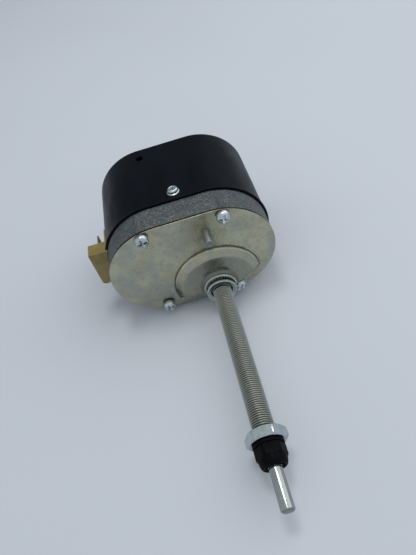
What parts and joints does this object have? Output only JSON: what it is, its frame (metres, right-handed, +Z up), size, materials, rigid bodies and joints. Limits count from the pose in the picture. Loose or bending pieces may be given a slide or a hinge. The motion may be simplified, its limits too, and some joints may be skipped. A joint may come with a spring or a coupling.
{
  "type": "windscreen wiper motor",
  "caption": "Flat-oval geared wiper motor: dished plate, cast gear housing, deep cover, long threaded spindle tube with nut and seal cap, and an oscillating round output shaft.",
  "frame": {"origin": "on the output shaft's axis, in the plane where a panel seats on the front ring", "axes": "+Y into the motor along the shaft axis (the shaft comes out towards -Y), +Z up with the motor on its long side, X along the plate's long axis with the output at the +X end"},
  "size_m": [0.1167, 0.2291, 0.0776],
  "materials": {
    "zinc_plate": "yellowish zinc plating, satin",
    "bright_zinc": "bright zinc plating",
    "gasket_paper": "brown fibre gasket",
    "cast_aluminium": "rough as-cast grey",
    "black_shell": "black, satin",
    "natural_nylon": "natural yellowish nylon",
    "brass": "plain brass",
    "grey_steel": "dull grey steel",
    "dark_steel": "dark hardened steel",
    "bright_steel": "ground steel",
    "bronze": "sintered bronze",
    "black_rubber": "black rubber",
    "gear_plastic": "white acetal",
    "can_steel": "drawn steel",
    "ferrite": "dark ferrite",
    "core_steel": "stacked laminations",
    "copper": "enamelled copper",
    "board": "phenolic board",
    "carbon": "carbon brush",
    "spring_steel": "spring steel",
    "wire": "insulated wire"
  },
  "bodies": {
    "frame": {"front_plate": "zinc_plate", "plate_gasket": "gasket_paper", "gear_housing": "cast_aluminium", "motor_cover": "black_shell", "terminal_block": "natural_nylon", "terminals": "brass", "plate_screws": "bright_zinc", "screw_washers": "dark_steel", "cover_screws": "bright_zinc", "index_peg": "bright_steel", "spindle_tube": "grey_steel", "spindle_bush_rear": "bronze", "spindle_bush_front": "bronze", "plain_washer": "bright_zinc", "tooth_lock_washer": "dark_steel", "front_ring": "bright_zinc", "spindle_nut": "bright_zinc", "nut_seal_ring": "black_rubber", "seal_cap": "black_rubber", "crank_axle": "dark_steel", "crank_clip": "bright_zinc", "intermediate_axle": "dark_steel", "intermediate_clip": "bright_zinc", "motor_can": "can_steel", "front_bearing": "bronze", "rear_bearing": "bronze", "magnets": "ferrite", "brush_plate": "board", "brushes": "carbon", "brush_boxes": "brass", "brush_springs": "spring_steel", "leads": "wire", "contact_holder": "board", "park_contacts": "brass"},
    "output": {"output_shaft": "bright_steel", "thrust_washer": "bright_zinc", "shaft_clip": "bright_zinc", "rocker_lever": "grey_steel", "rocker_pin": "bright_steel", "link_spacer": "dark_steel"},
    "rod": {"connecting_rod": "grey_steel", "crank_pin": "bright_steel"},
    "crank": {"crank_wheel": "gear_plastic", "park_disc": "brass"},
    "intermediate": {"intermediate_gear": "gear_plastic"},
    "armature": {"armature_pinion": "bright_steel", "armature_shaft": "bright_steel", "commutator": "copper", "armature_core": "core_steel", "armature_windings": "copper"}
  },
  "joints": [
    {"name": "armature_spin", "type": "hinge", "parent": "frame", "child": "armature", "pos_m": [-0.0117, 0.0117, 0.0212], "axis": [0, 1, 0], "range_deg": [0, 6120]},
    {"name": "intermediate_spin", "type": "hinge", "parent": "frame", "child": "intermediate", "pos_m": [0.0093, 0.0117, 0.0212], "axis": [0, 1, 0], "continuous": true},
    {"name": "crank_spin", "type": "hinge", "parent": "frame", "child": "crank", "pos_m": [-0.0207, 0.0117, 0.0212], "axis": [0, 1, 0], "continuous": true},
    {"name": "output_swing", "type": "hinge", "parent": "frame", "child": "output", "pos_m": [0, 0.0117, 0], "axis": [0, 1, 0], "range_deg": [0, 105]},
    {"name": "rod_pivot", "type": "hinge", "parent": "output", "child": "rod", "pos_m": [-0.00779, 0.0117, 0.01511], "axis": [0, 1, 0], "range_deg": [-105, 0]}
  ],
  "couplings": [
    {"joint": "intermediate_spin", "follows": "armature_spin", "ratio": -0.16667},
    {"joint": "crank_spin", "follows": "armature_spin", "ratio": 0.029412},
    {"joint": "output_swing", "follows": "armature_spin", "ratio": 0.017157},
    {"joint": "rod_pivot", "follows": "armature_spin", "ratio": -0.017157}
  ]
}
